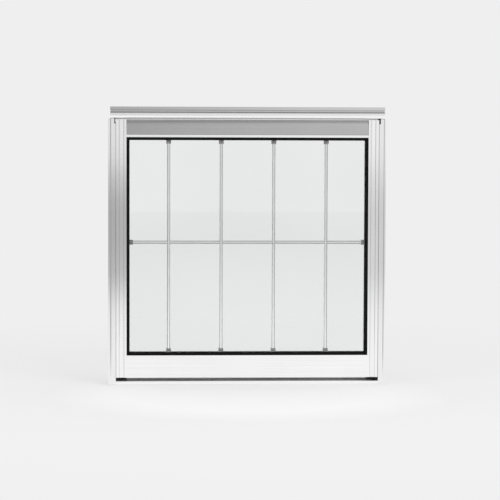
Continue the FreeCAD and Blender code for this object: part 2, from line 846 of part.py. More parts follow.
def build_bottom_rail():
    """Flat outdoor face flush with the stiles, hollow behind, bored for the bracket."""
    outline = [
        ("0", SASH_LOW),
        ("0", OPEN_LOW),
        ("lip_thickness", OPEN_LOW),
        ("lip_thickness", REBATE_LOW),
        ("sash_depth", REBATE_LOW),
        ("sash_depth", SASH_LOW),
    ]
    ceiling = f"({REBATE_LOW} - rail_wall)"
    rear = "(sash_depth - rail_wall)"
    port_front, port_level = STILE_SCREWS["low"]
    hollow = [
        ("rail_wall", f"{SASH_LOW} + rail_wall"),
        (rear, f"{SASH_LOW} + rail_wall"),
        (rear, ceiling),
        (f"{port_front} + port_size / 2", ceiling),
        (f"{port_front} + port_size / 2", f"{ceiling} - port_size"),
        (f"{port_front} - port_size / 2", f"{ceiling} - port_size"),
        (f"{port_front} - port_size / 2", ceiling),
        ("rail_wall", ceiling),
    ]
    port = [(port_front, port_level, "port_radius")]
    bar = extrusion("bottom_rail_bar", "YZ", [outline, hollow], f"-{REBATE}", REBATE, port)
    tools = [stile_profile(f"bottom_cope_{word}", side, f"{SASH_LOW} - 1", f"{SASH_TOP} + 1",
                           filled=True)
             for word, side in SIDES.items()]
    for word, side in SIDES.items():
        start = (f"{side} * {BRACKET_SCREW}", f"{rear} - 1", BRACKET_SCREW_LEVEL)
        tools.append(rod(f"bottom_rail_{word}_hole", "+Y", start,
                         "screw_radius + running_fit", "rail_wall + 2"))
    keep("bottom_rail", cut("bottom_rail", bar, *tools))


def ring(name, side_outline, level_outline, reach):
    """Four straight strips round the glass; each outline is (inward offset, depth) pairs.

    Offsets are measured inwards from the sash opening. The uprights run past the opening
    by reach at both ends, and the level strips fit between them.
    """
    strips = {}
    for word, side in SIDES.items():
        corners = [(f"{side} * ({STILE_IN} - ({offset}))", y) for offset, y in side_outline]
        strips[word] = extrusion(f"{name}_{word}", "XY", [corners],
                                 f"{OPEN_LOW} - ({reach})", f"{OPEN_TOP} + ({reach})")
    end = f"({STILE_IN} - gasket_width)"
    for word, line, sign in (("bottom", OPEN_LOW, "+"), ("top", OPEN_TOP, "-")):
        corners = [(y, f"{line} {sign} ({offset})") for offset, y in level_outline]
        strips[word] = extrusion(f"{name}_{word}", "YZ", [corners], f"-{end}", end)
    return strips


def build_gaskets():
    """Black outdoor glazing gasket in four strips."""
    reach = "(rebate_width - glass_clearance)"
    outline = [
        ("gasket_width", PANE_FRONT),
        ("gasket_width", "gasket_proud + gasket_bevel"),
        ("gasket_width - gasket_bevel", "gasket_proud"),
        ("0", "gasket_proud"),
        ("0", "lip_thickness"),
        (f"-{reach}", "lip_thickness"),
        (f"-{reach}", PANE_FRONT),
    ]
    strips = ring("gasket", outline, outline, reach)
    for word in ("bottom", "top"):
        keep(f"gasket_{word}", strips[word])
    for word, side in SIDES.items():
        name = f"gasket_{word}"
        across = span(side, f"{DAYLIGHT} - 1", f"{STILE_IN} + 0.001")
        deep = ("0", "lip_thickness")
        low = box(f"{name}_low_end", across, deep, ("0", OPEN_LOW))
        high = box(f"{name}_high_end", across, deep, (OPEN_TOP, "frame_height"))
        keep(name, cut(name, strips[word], low, high))


def build_beads():
    """Indoor glazing beads that hold the glass unit in its rebate."""
    outline = [
        ("-rebate_width", "sash_depth"),
        ("-rebate_width", BEAD_FRONT),
        ("gasket_width", BEAD_FRONT),
        ("gasket_width", "sash_depth - bead_bevel"),
        ("gasket_width - bead_bevel", "sash_depth"),
    ]
    for word, strip in ring("bead", outline, outline, "rebate_width").items():
        keep(f"bead_{word}", strip)


def build_tape():
    """Sealing tape between the inner pane and the beads."""
    reach = "(rebate_width - glass_clearance)"
    outline = [
        (f"-{reach}", PANE_BACK),
        ("gasket_width", PANE_BACK),
        ("gasket_width", BEAD_FRONT),
        (f"-{reach}", BEAD_FRONT),
    ]
    strips = ring("tape", outline, outline, reach)
    keep("glazing_tape", group("glazing_tape", strips.values()))


def build_glass():
    """Sealed unit: two panes, the spacer between them and two setting blocks below."""
    across = (f"-{GLASS_SIDE}", GLASS_SIDE)
    high = (GLASS_LOW, GLASS_TOP)
    keep("outer_pane", box("outer_pane", across, (PANE_FRONT, CAVITY), high))
    keep("inner_pane", box("inner_pane", across, (CAVITY_BACK, PANE_BACK), high))
    deep = (CAVITY, CAVITY_BACK)
    bars = [
        box("spacer_left", span(LEFT, SPACER_SIDE, GLASS_SIDE), deep, high),
        box("spacer_right", span(RIGHT, SPACER_SIDE, GLASS_SIDE), deep, high),
        box("spacer_bottom", (f"-{SPACER_SIDE}", SPACER_SIDE), deep, (GLASS_LOW, SPACER_LOW)),
        box("spacer_top", (f"-{SPACER_SIDE}", SPACER_SIDE), deep, (SPACER_TOP, GLASS_TOP)),
    ]
    keep("spacer_frame", group("spacer_frame", bars))
    blocks = []
    for word, side in SIDES.items():
        middle = f"({GLASS_SIDE} / 2)"
        across = span(side, f"{middle} - setting_block_length / 2",
                      f"{middle} + setting_block_length / 2")
        blocks.append(box(f"setting_block_{word}", across, (PANE_FRONT, PANE_BACK),
                          (REBATE_LOW, GLASS_LOW)))
    keep("setting_blocks", group("setting_blocks", blocks))


def bar_outline(middle):
    """Flat bar with eased corners, as (offset, depth) pairs."""
    half = "(muntin_width / 2)"
    front = f"({MUNTIN_MIDDLE} - muntin_depth / 2)"
    rear = f"({MUNTIN_MIDDLE} + muntin_depth / 2)"
    return [
        (f"{middle} - {half} + muntin_round", front),
        (f"{middle} + {half} - muntin_round", front),
        (f"{middle} + {half}", f"{front} + muntin_round"),
        (f"{middle} + {half}", f"{rear} - muntin_round"),
        (f"{middle} + {half} - muntin_round", rear),
        (f"{middle} - {half} + muntin_round", rear),
        (f"{middle} - {half}", f"{rear} - muntin_round"),
        (f"{middle} - {half}", f"{front} + muntin_round"),
    ]


def build_muntins():
    """Four uprights and one crossbar inside the glass unit, halved where they cross."""
    places = [f"({step} * muntin_pitch)" for step in (-1.5, -0.5, 0.5, 1.5)]
    low = f"({SPACER_LOW} + clip_length)"
    high = f"({SPACER_TOP} - clip_length)"
    half = "(muntin_width / 2 + running_fit)"
    front = f"({MUNTIN_MIDDLE} - muntin_depth)"
    rear = f"({MUNTIN_MIDDLE} + muntin_depth)"
    clips = []
    notches = []
    for number, x in enumerate(places, start=1):
        name = f"muntin_upright_{number}"
        bar = extrusion(name + "_bar", "XY", [bar_outline(x)], low, high)
        notch = box(name + "_notch", (f"{x} - muntin_width", f"{x} + muntin_width"),
                    (MUNTIN_MIDDLE, rear), (f"{CROSSBAR} - {half}", f"{CROSSBAR} + {half}"))
        keep(name, cut(name, bar, notch))
        notches.append(box(f"crossbar_notch_{number}", (f"{x} - {half}", f"{x} + {half}"),
                           (front, f"{MUNTIN_MIDDLE} + running_fit"),
                           (f"{CROSSBAR} - muntin_width", f"{CROSSBAR} + muntin_width")))
        across = (f"{x} - clip_width / 2", f"{x} + clip_width / 2")
        clips.append(box(f"clip_low_{number}", across, CLIP_DEEP, (SPACER_LOW, low)))
        clips.append(box(f"clip_high_{number}", across, CLIP_DEEP, (high, SPACER_TOP)))
    end = f"({SPACER_SIDE} - clip_length)"
    outline = [(y, z) for z, y in bar_outline(CROSSBAR)]
    bar = extrusion("crossbar_bar", "YZ", [outline], f"-{end}", end)
    keep("muntin_crossbar", cut("muntin_crossbar", bar, *notches))
    for word, side in SIDES.items():
        clips.append(box(f"clip_{word}", span(side, end, SPACER_SIDE), CLIP_DEEP,
                         (f"{CROSSBAR} - clip_width / 2", f"{CROSSBAR} + clip_width / 2")))
    keep("muntin_clips", group("muntin_clips", clips))


CLIP_DEEP = (f"({MUNTIN_MIDDLE} - clip_depth / 2)", f"({MUNTIN_MIDDLE} + clip_depth / 2)")


def build_sash_fittings():
    """Corner screws, black plugs under the stiles and the pivots on their sides."""
    screws = []
    plugs = []
    pivots = []
    for word, side in SIDES.items():
        for place, (deep, level) in STILE_SCREWS.items():
            name = f"sash_screw_{word}_{place}"
            shank = side_rod(name + "_shank", side, f"{STILE_SIDE} - screw_length", STILE_SIDE,
                             deep, level, "screw_radius")
            dome = side_rod(name + "_head", side, STILE_SIDE, f"{STILE_SIDE} + screw_head_height",
                            deep, level, "screw_head")
            screws.append(joined(name, shank, dome))
        plugs.append(box(f"end_plug_{word}", span(side, STILE_IN, SASH_EDGE),
                         ("0.5", "sash_depth - 2"), (f"{SASH_LOW} - plug_height", SASH_LOW)))
        pivots.append(shoe_pivot(word, side))
        pivots.append(arm_pivot(word, side))
    keep("sash_screws", group("sash_screws", screws))
    keep("end_plugs", group("end_plugs", plugs))
    keep("sash_pivots", group("sash_pivots", pivots))


COLLAR_END = f"({SUPPORT_IN} - free_gap / 2)"


def shoe_pivot(word, side):
    """Long pin from the stile into the shoe in the track."""
    name = f"shoe_pivot_{word}"
    tail = side_rod(name + "_tail", side, PIVOT_TAIL_END, STILE_SIDE,
                    "pivot_depth", SHOE_LEVEL, "pivot_tail")
    collar = side_rod(name + "_collar", side, STILE_SIDE, COLLAR_END,
                      "pivot_depth", SHOE_LEVEL, "pivot_collar")
    pin = side_rod(name + "_pin", side, COLLAR_END, SHOE_PIN_END,
                   "pivot_depth", SHOE_LEVEL, "shoe_pin_radius")
    return joined(name, tail, collar, pin)


def arm_pivot(word, side):
    """Headed pin from the stile through the upper eye of the support arm."""
    name = f"arm_pivot_{word}"
    head_start = f"({SUPPORT_OUT} + free_gap / 2)"
    tail = side_rod(name + "_tail", side, PIVOT_TAIL_END, STILE_SIDE,
                    "pivot_depth", ARM_LEVEL, "pivot_tail")
    collar = side_rod(name + "_collar", side, STILE_SIDE, COLLAR_END,
                      "pivot_depth", ARM_LEVEL, "pivot_collar")
    pin = side_rod(name + "_pin", side, COLLAR_END, head_start,
                   "pivot_depth", ARM_LEVEL, "pivot_radius")
    dome = side_rod(name + "_head", side, head_start, f"{head_start} + pivot_head",
                    "pivot_depth", ARM_LEVEL, "pivot_collar")
    return joined(name, tail, collar, pin, dome)


SHOE_IN = f"({JAMB_IN} - track_height + track_lip + free_gap)"
SHOE_OUT = f"({JAMB_IN} - track_wall - free_gap)"
SHOE_PIN_END = f"({SHOE_OUT} - 1)"


def build_support_arms():
    """Flat side arms from the jamb studs up to the middle of the stiles."""
    across = (SUPPORT_IN, SUPPORT_OUT)
    for word, side in SIDES.items():
        name = f"support_arm_{word}"
        flat = box(name + "_flat", span(side, *across),
                   ("pivot_depth - support_width / 2", "pivot_depth + support_width / 2"),
                   (STUD_LEVEL, ARM_LEVEL))
        eyes = []
        holes = []
        for place, level in (("low", STUD_LEVEL), ("high", ARM_LEVEL)):
            eyes.append(side_rod(f"{name}_{place}_eye", side, *across,
                                 "pivot_depth", level, "support_eye"))
            holes.append(side_rod(f"{name}_{place}_hole", side, f"{SUPPORT_IN} - 1",
                                  f"{SUPPORT_OUT} + 1", "pivot_depth", level,
                                  "pivot_radius + running_fit"))
        keep(name, cut(name, joined(name + "_blank", flat, *eyes), *holes))


def build_shoes():
    """Plastic shoes that slide in the tracks."""
    half = "(track_width / 2 - track_wall - free_gap)"
    for word, side in SIDES.items():
        name = f"shoe_{word}"
        block = box(name + "_block", span(side, SHOE_IN, SHOE_OUT),
                    (f"pivot_depth - {half}", f"pivot_depth + {half}"),
                    (f"{SHOE_LEVEL} - shoe_length / 2", f"{SHOE_LEVEL} + shoe_length / 2"))
        hole = side_rod(name + "_hole", side, f"{SHOE_IN} - 1", f"{SHOE_PIN_END} + free_gap",
                        "pivot_depth", SHOE_LEVEL, "shoe_pin_radius + running_fit")
        keep(name, cut(name, block, hole))


# ---------------------------------------------------------------- operator

OPERATOR_SCREWS = [
    (f"{side} * (operator_width / 2 - 6)", deep)
    for side in SIDES.values()
    for deep in ("operator_depth - 8", "operator_depth + 12")
]
BRACKET_SCREW = "(bracket_width / 2 - 6)"
BRACKET_SCREW_LEVEL = f"({SWIVEL_LEVEL} - 1.75)"
BEARING_FRONT = f"({COVER_REAR} - bush_length)"


def build_operator_base():
    """Base plate with a lug for each end of the worm shaft."""
    half = "(operator_width / 2)"
    front = "(operator_depth - 13)"
    plate = box("base_plate", (f"-{half}", half), (front, COVER_REAR), ("sill_height", BASE_TOP))
    nose = box("base_nose_lug", ("-worm_nose - 3", "worm_nose + 3"), (front, f"{front} + 3"),
               ("sill_height", f"{WORM_LEVEL} + worm_nose + 3"))
    rear = box("base_rear_lug", (f"-{BUSH_OUT} - 1.6", f"{BUSH_OUT} + 1.6"),
               (BEARING_FRONT, COVER_REAR), ("sill_height", f"{WORM_LEVEL} + {BUSH_OUT} + 1.6"))
    nose_bore = rod("base_nose_bore", "+Y", ("0", f"{front} - 1", WORM_LEVEL),
                    "worm_nose + running_fit", "5")
    bush_bore = rod("base_bush_bore", "+Y", ("0", f"{BEARING_FRONT} - 1", WORM_LEVEL),
                    f"{BUSH_OUT} + running_fit / 2", "bush_length + 2")
    holes = []
    for number, (x, y) in enumerate(OPERATOR_SCREWS, start=1):
        holes.append(rod(f"base_hole_{number}", "+Z", (x, y, "sill_height - 1"),
                         "screw_radius + running_fit", "operator_base + 2"))
    for word, side in SIDES.items():
        start = (f"{side} * {GEAR_CENTRE}", "operator_depth", "sill_height - 1")
        holes.append(rod(f"base_post_hole_{word}", "+Z", start,
                         "pivot_radius + running_fit / 2", "operator_base + 2"))
    blank = joined("base_blank", plate, nose, rear)
    keep("operator_base", cut("operator_base", blank, nose_bore, bush_bore, *holes))
    bush = cut(
        "worm_bush",
        rod("worm_bush_outer", "+Y", ("0", BEARING_FRONT, WORM_LEVEL), BUSH_OUT, "bush_length"),
        rod("worm_bush_inner", "+Y", ("0", f"{BEARING_FRONT} - 1", WORM_LEVEL),
            "worm_journal + running_fit", "bush_length + 2"),
    )
    keep("worm_bush", bush)


def build_operator_cover():
    """Cap over the gears with a rear wall that the shaft passes through."""
    half = "(cover_width / 2)"
    low = f"({HUB_TOP} + 2.6)"
    shell = box("cover_shell", (f"-{half}", half), ("cover_front", "frame_depth"),
                (low, COVER_TOP))
    room = box("cover_room", (f"-({half} - cover_wall)", f"{half} - cover_wall"),
               ("cover_front + cover_wall", COVER_REAR), (f"{low} - 1", f"{COVER_TOP} - cover_wall"))
    wall = box("cover_wall", (f"-{half}", half), (COVER_REAR, "frame_depth"),
               ("sill_height", COVER_TOP))
    tools = [room, rod("cover_shaft_hole", "+Y", ("0", f"{COVER_REAR} - 1", WORM_LEVEL),
                       "worm_journal + free_gap", "cover_wall + 2")]
    for word, side in SIDES.items():
        start = (f"{side} * {GEAR_CENTRE}", "operator_depth", f"{COVER_TOP} - cover_wall - 1")
        tools.append(rod(f"cover_screw_hole_{word}", "+Z", start, f"{COVER_SCREW} + running_fit",
                         "cover_wall + 2"))
    rough = cut("cover_rough", joined("cover_blank", shell, wall), *tools)
    keep("operator_cover", eased("operator_cover", rough))


COVER_SCREW = "1.5"


def eased(name, source):
    """Round the cover's long upper edges."""
    DOC.recompute()
    top = value(COVER_TOP)
    fillet = DOC.addObject("Part::Fillet", name)
    fillet.Base = source
    edges = []
    for index, edge in enumerate(source.Shape.Edges, start=1):
        box_of_edge = edge.BoundBox
        on_top = abs(box_of_edge.ZMin - top) < 0.001 and abs(box_of_edge.ZMax - top) < 0.001
        if on_top and edge.Length > 10:
            edges.append((index, 1.2, 1.2))
    fillet.Edges = edges
    return fillet


def build_operator_screws():
    """Base screws into the stool and cover screws into the gear posts."""
    screws = []
    for number, (x, y) in enumerate(OPERATOR_SCREWS, start=1):
        name = f"base_screw_{number}"
        shank = rod(name + "_shank", "+Z", (x, y, f"{BASE_TOP} - screw_length / 2"),
                    "screw_radius", "screw_length / 2")
        dome = rod(name + "_head", "+Z", (x, y, BASE_TOP), "screw_head", "screw_head_height")
        screws.append(joined(name, shank, dome))
    for word, side in SIDES.items():
        name = f"cover_screw_{word}"
        x = f"{side} * {GEAR_CENTRE}"
        shank = rod(name + "_shank", "+Z", (x, "operator_depth", f"{COVER_TOP} - 8"),
                    COVER_SCREW, "8")
        dome = rod(name + "_head", "+Z", (x, "operator_depth", COVER_TOP),
                   "screw_head", "screw_head_height")
        screws.append(joined(name, shank, dome))
    keep("operator_screws", group("operator_screws", screws))


def build_gear_posts():
    """Posts that the gear arms turn on, each with a retaining ring."""
    posts = []
    for word, side in SIDES.items():
        name = f"gear_post_{word}"
        x = f"{side} * {GEAR_CENTRE}"
        column = rod(name + "_column", "+Z", (x, "operator_depth", "sill_height"),
                     "pivot_radius", "cover_height - cover_wall")
        collar = rod(name + "_collar", "+Z", (x, "operator_depth", BASE_TOP),
                     "pivot_collar", f"{ARM_LOW} - {BASE_TOP} - free_gap / 2")
        bore = rod(name + "_bore", "+Z", (x, "operator_depth", f"{COVER_TOP} - 9"),
                   f"{COVER_SCREW} + running_fit", "10")
        posts.append(cut(name, joined(name + "_blank", column, collar), bore))
        ring_low = f"({HUB_TOP} + free_gap / 2)"
        outer = rod(name + "_ring_outer", "+Z", (x, "operator_depth", ring_low), "6.5", "1")
        inner = rod(name + "_ring_inner", "+Z", (x, "operator_depth", f"{ring_low} - 1"),
                    "pivot_radius + running_fit / 2", "3")
        posts.append(cut(name + "_ring", outer, inner))
    keep("gear_posts", group("gear_posts", posts))


def polar(side, start, angle, distance):
    """Point at a distance from a start point, along an angle in the level plane."""
    x, y = start
    return f"({x} + ({distance}) * cos({angle}))", f"({y} + ({distance}) * sin({angle}))"


def level_bar(name, start, angle, length, width, low, high):
    """Flat bar that leaves a pivot along an angle in the level plane."""
    x, y = start
    bar = DOC.addObject("Part::Box", name)
    half = f"({width} / 2)"
    bind(
        bar,
        Length=length,
        Width=width,
        Height=f"({high}) - ({low})",
        x=f"{x} + {half} * sin({angle})",
        y=f"{y} - {half} * cos({angle})",
        z=low,
    )
    bar.setExpression("Placement.Rotation.Angle", linked(angle))
    return bar


def gear_sector(name, side, pivot):
    """Toothed sector that faces the worm.

    The two gears mesh half a lead apart on the worm, so one has a tooth on the centre
    line where the other has a gap.
    """
    x, y = pivot
    root = "(gear_radius - gear_dedendum)"
    disc = DOC.addObject("Part::Cylinder", name + "_disc")
    first, last = -1, 5
    if side == RIGHT:
        start = f"180 + ({first} - 0.45) * {TOOTH_STEP}"
    else:
        start = f"-({last} + 0.95) * {TOOTH_STEP}"
    bind(disc, Radius=root, Height="gear_width", Angle=f"({last - first} + 0.9) * {TOOTH_STEP}",
         x=x, y=y, z=ARM_LOW)
    disc.setExpression("Placement.Rotation.Angle", linked(start))
    teeth = [disc]
    for number in range(first, last + 1):
        if side == RIGHT:
            angle = f"180 + {number} * {TOOTH_STEP}"
        else:
            angle = f"-({number} + 0.5) * {TOOTH_STEP}"
        tooth = DOC.addObject("Part::Wedge", f"{name}_tooth_{number - first + 1}")
        bind(
            tooth,
            Xmin="-gear_root_width / 2",
            Xmax="gear_root_width / 2",
            X2min="-gear_tip_width / 2",
            X2max="gear_tip_width / 2",
            Ymin=f"{root} - 1",
            Ymax="gear_radius + gear_addendum",
            Zmin="0",
            Z2min="0",
            Zmax="gear_width",
            Z2max="gear_width",
            x=x,
            y=y,
            z=ARM_LOW,
        )
        tooth.setExpression("Placement.Rotation.Angle", linked(f"{angle} - 90"))
        teeth.append(tooth)
    return teeth


def build_gear_arms():
    """Arms with a toothed sector at the operator and a knee stud at the far end."""
    for word, side in SIDES.items():
        name = f"gear_arm_{word}"
        pivot = (f"({side} * {GEAR_CENTRE})", "operator_depth")
        angle = f"(-{ARM_REST})" if side == RIGHT else f"(180 + {ARM_REST})"
        knee = polar(side, pivot, angle, "arm_length")
        parts = gear_sector(name, side, pivot)
        parts.append(rod(name + "_hub", "+Z", (*pivot, ARM_LOW), "hub_radius", "hub_height"))
        parts.append(level_bar(name + "_bar", pivot, angle, "arm_length", "arm_width",
                               ARM_LOW, ARM_TOP))
        parts.append(rod(name + "_eye", "+Z", (*knee, ARM_LOW), "arm_eye", "arm_thickness"))
        stud_top = f"({LINK_TOP} + free_gap)"
        parts.append(rod(name + "_stud", "+Z", (*knee, ARM_LOW), "pivot_radius",
                         f"{stud_top} - {ARM_LOW}"))
        parts.append(rod(name + "_stud_head", "+Z", (*knee, stud_top), "pivot_radius + 2", "1.2"))
        bore = rod(name + "_bore", "+Z", (*pivot, f"{ARM_LOW} - 1"),
                   "pivot_radius + running_fit", "hub_height + 2")
        keep(name, cut(name, joined(name + "_blank", *parts), bore))


def build_links():
    """Links that fold back from the knees to the swivel block's upright pins."""
    for word, side in SIDES.items():
        name = f"link_{word}"
        pivot = (f"({side} * {GEAR_CENTRE})", "operator_depth")
        out = f"(-{ARM_REST})" if side == RIGHT else f"(180 + {ARM_REST})"
        back = f"(180 + {ARM_REST})" if side == RIGHT else f"(-{ARM_REST})"
        knee = polar(side, pivot, out, "arm_length")
        end = polar(side, knee, back, "arm_length")
        loose = "(swivel_pin + eye_slack + running_fit * 3)"
        flat = level_bar(name + "_flat", knee, back, "arm_length", "link_width",
                         LINK_LOW, LINK_TOP)
        knee_eye = rod(name + "_knee_eye", "+Z", (*knee, LINK_LOW), "arm_eye", "arm_thickness")
        end_eye = rod(name + "_end_eye", "+Z", (*end, LINK_LOW), f"{loose} + 2.4",
                      "arm_thickness")
        knee_hole = rod(name + "_knee_hole", "+Z", (*knee, f"{LINK_LOW} - 1"),
                        "pivot_radius + running_fit", "arm_thickness + 2")
        end_hole = rod(name + "_end_hole", "+Z", (*end, f"{LINK_LOW} - 1"), loose,
                       "arm_thickness + 2")
        blank = joined(name + "_blank", flat, knee_eye, end_eye)
        keep(name, cut(name, blank, knee_hole, end_hole))


def build_swivel():
    """Block that stays upright on trunnions while the sash tilts round it."""
    half = "(swivel_width / 2)"
    block = box("swivel_bar", (f"-{half}", half),
                ("swivel_depth - swivel_thickness / 2", "swivel_depth + swivel_thickness / 2"),
                (f"{SWIVEL_LEVEL} - swivel_tall / 2", f"{SWIVEL_LEVEL} + swivel_tall / 2"))
    parts = [block]
    for word, side in SIDES.items():
        parts.append(side_rod(f"swivel_trunnion_{word}", side, f"{half} - 1",
                              f"{half} + bracket_ear + 2", "swivel_depth", SWIVEL_LEVEL,
                              "swivel_pin"))
        parts.append(rod(f"swivel_pin_{word}", "+Z",
                         (f"{side} * {GEAR_CENTRE}", "swivel_depth", SWIVEL_LEVEL),
                         "swivel_pin", "swivel_pin_top - swivel_height"))
    keep("swivel_block", joined("swivel_block", *parts))


def build_sash_bracket():
    """Bracket on the bottom rail with an ear at each end of the swivel block."""
    half = "(bracket_width / 2)"
    rear = "(sash_depth + bracket_thickness)"
    parts = [box("bracket_plate", (f"-{half}", half), ("sash_depth", rear),
                 (f"{SWIVEL_LEVEL} - 5.5", f"{SWIVEL_LEVEL} + 2"))]
    tools = []
    screws = []
    for word, side in SIDES.items():
        near = "(swivel_width / 2 + free_gap)"
        far = f"({near} + bracket_ear)"
        parts.append(box(f"bracket_ear_{word}", span(side, near, far),
                         ("sash_depth", "swivel_depth"),
                         (f"{SWIVEL_LEVEL} - bracket_eye", f"{SWIVEL_LEVEL} + bracket_eye")))
        parts.append(side_rod(f"bracket_eye_{word}", side, near, far, "swivel_depth",
                              SWIVEL_LEVEL, "bracket_eye"))
        tools.append(side_rod(f"bracket_hole_{word}", side, f"{near} - 1", f"{far} + 1",
                              "swivel_depth", SWIVEL_LEVEL, "swivel_pin + running_fit"))
        x = f"{side} * {BRACKET_SCREW}"
        tools.append(rod(f"bracket_screw_hole_{word}", "+Y",
                         (x, "sash_depth - 1", BRACKET_SCREW_LEVEL),
                         "screw_radius + running_fit", "bracket_thickness + 2"))
        name = f"bracket_screw_{word}"
        shank = rod(name + "_shank", "+Y", (x, f"{rear} - screw_length / 2", BRACKET_SCREW_LEVEL),
                    "screw_radius", "screw_length / 2")
        dome = rod(name + "_head", "+Y", (x, rear, BRACKET_SCREW_LEVEL),
                   "screw_head", "screw_head_height")
        screws.append(joined(name, shank, dome))
    keep("sash_bracket", cut("sash_bracket", joined("bracket_blank", *parts), *tools))
    keep("bracket_screws", group("bracket_screws", screws))


def build_worm_shaft():
    """Single-start worm between its nose and the journal that carries the crank.

    The shaft's own Z axis becomes the window's Y axis. The thread starts half a turn from
    the right-hand gear, so that a gap faces that gear's middle tooth.
    """
    body = DOC.addObject("PartDesign::Body", "worm_shaft")
    half_thread = f"(worm_turns * {WORM_PITCH} / 2)"
    nose = "(operator_depth - 13 + 0.3)"
    start = f"(operator_depth - {half_thread})"
    thread_low = "(-1.2)"
    thread_high = f"(2 * {half_thread} + 1.2)"
    collar = f"({thread_high} + 0.2)"
    collar_end = f"({BEARING_FRONT} - {start} - free_gap)"
    journal_end = f"(frame_depth - {start} + 1)"
    tip = f"({CRANK_TIP} - {start} - 1)"
    outline = [
        ("0", f"{nose} - {start}"),
        ("worm_nose", f"{nose} - {start}"),
        ("worm_nose", thread_low),
        (WORM_ROOT, thread_low),
        (WORM_ROOT, collar),
        ("worm_collar", collar),
        ("worm_collar", collar_end),
        ("worm_journal", collar_end),
        ("worm_journal", journal_end),
        ("worm_end", journal_end),
        ("worm_end", tip),
        ("0", tip),
    ]
    profile = new_sketch(body, "worm_shaft_profile", "XZ", [outline])
    shaft = body.newObject("PartDesign::Revolution", "worm_shaft_turn")
    shaft.Profile = profile
    shaft.ReferenceAxis = (origin_item(body, "Z_Axis"), [""])
    shaft.Angle = 360
    DOC.recompute()
    foot = f"({WORM_ROOT} - 0.4)"
    trapezoid = [
        (foot, "-gear_root_width / 2"),
        (WORM_TIP, "-gear_tip_width / 2"),
        (WORM_TIP, "gear_tip_width / 2"),
        (foot, "gear_root_width / 2"),
    ]
    section = new_sketch(body, "worm_thread_profile", "XZ", [trapezoid])
    thread = body.newObject("PartDesign::AdditiveHelix", "worm_thread")
    thread.Profile = section
    thread.ReferenceAxis = (origin_item(body, "Z_Axis"), [""])
    thread.Mode = "pitch-turns-angle"
    bind(thread, Pitch=WORM_PITCH, Turns="worm_turns")
    thread.LeftHanded = False
    body.Tip = thread
    upright = FreeCAD.Rotation(AXES["+X"], -90)
    half_turn = FreeCAD.Rotation(AXES["+Z"], 180)
    body.Placement.Rotation = upright.multiply(half_turn)
    bind(body, y=start, z=WORM_LEVEL)
    keep("worm_shaft", body)


def build_crank():
    """Handle clamped to the shaft, with a knob that spins on its pin."""
    mid = f"({CRANK_BACK} + crank_hub_length / 2)"
    low = f"({CRANK_TIP} - crank_thickness - 1)"
    high = f"({CRANK_TIP} - 1)"
    hub = rod("crank_hub", "+Y", ("0", CRANK_BACK, WORM_LEVEL), "crank_hub", "crank_hub_length")
    taper = [
        ("0", f"{WORM_LEVEL} - crank_hub * 0.8"),
        ("crank_length", f"{WORM_LEVEL} - crank_boss * 0.75"),
        ("crank_length", f"{WORM_LEVEL} + crank_boss * 0.75"),
        ("0", f"{WORM_LEVEL} + crank_hub * 0.8"),
    ]
    blade = extrusion("crank_blade", "XZ", [taper], low, high)
    boss = rod("crank_boss", "+Y", ("crank_length", low, WORM_LEVEL), "crank_boss",
               f"{high} - {low} + 1")
    bore = rod("crank_bore", "+Y", ("0", f"{CRANK_BACK} - 1", WORM_LEVEL),
               "worm_end + running_fit", "crank_hub_length")
    screw_hole = rod("crank_screw_hole", "-X", ("0", mid, WORM_LEVEL),
                     f"{COVER_SCREW} + running_fit", "crank_hub + 1")
    pin_hole = rod("crank_pin_hole", "+Y", ("crank_length", f"{low} - 1", WORM_LEVEL),
                   "knob_pin + running_fit / 2", "crank_thickness + 4")
    blank = joined("crank_blank", hub, blade, boss)
    keep("crank_handle", cut("crank_handle", blank, bore, screw_hole, pin_hole))
    grub = rod("crank_grub_screw", "-X", ("-worm_end - 0.2", mid, WORM_LEVEL), COVER_SCREW,
               "crank_hub - worm_end - 0.4")
    knob_low = f"({CRANK_TIP} + free_gap)"
    knob_high = f"({knob_low} + knob_length)"
    stem = rod("knob_pin_stem", "+Y", ("crank_length", low, WORM_LEVEL), "knob_pin",
               f"{knob_high} - {low} + free_gap")
    cap = rod("knob_pin_cap", "+Y", ("crank_length", f"{knob_high} + free_gap", WORM_LEVEL),
              "knob_pin + 2", "1.5")
    keep("crank_fasteners", group("crank_fasteners", [grub, joined("knob_pin_piece", stem, cap)]))
    outline = [
        ("knob_pin + running_fit", "0"),
        ("knob_radius * 0.62", "0"),
        ("knob_radius * 0.75", "knob_length * 0.2"),
        ("knob_radius", "knob_length * 0.55"),
        ("knob_radius", "knob_length * 0.85"),
        ("knob_radius * 0.8", "knob_length"),
        ("knob_pin + running_fit", "knob_length"),
    ]
    knob = turned("knob", outline, knob_low, "crank_length", WORM_LEVEL)
    keep("knob", knob)


def check_and_write():
    """Refuse a failed object or an empty sub-part, then write one STEP file per sub-part."""
    DOC.recompute()
    for item in DOC.Objects:
        if "Invalid" in item.State or "Error" in item.State:
            raise RuntimeError(f"{item.Label} failed: {item.State}")
    for name, item in PIECES.items():
        if item.Shape.isNull() or not item.Shape.isValid():
            raise RuntimeError(f"{name} has no valid shape")
    os.makedirs("parts", exist_ok=True)
    for name, item in PIECES.items():
        item.Shape.exportStep(f"parts/{name}.step")
    print(f"{len(PIECES)} sub-parts written")


build_jambs()
build_head()
build_sill()
build_frame_screws()
build_weatherstrips()
build_tracks()
build_support_studs()
build_stiles()
build_top_rail()
build_bottom_rail()
build_gaskets()
build_beads()
build_tape()
build_glass()
build_muntins()
build_sash_fittings()
build_support_arms()
build_shoes()
build_operator_base()
build_operator_cover()
build_operator_screws()
build_gear_posts()
build_gear_arms()
build_links()
build_swivel()
build_sash_bracket()
build_worm_shaft()
build_crank()
check_and_write()
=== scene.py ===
"""Looks for the crank-operated aluminium window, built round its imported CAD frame."""
import math

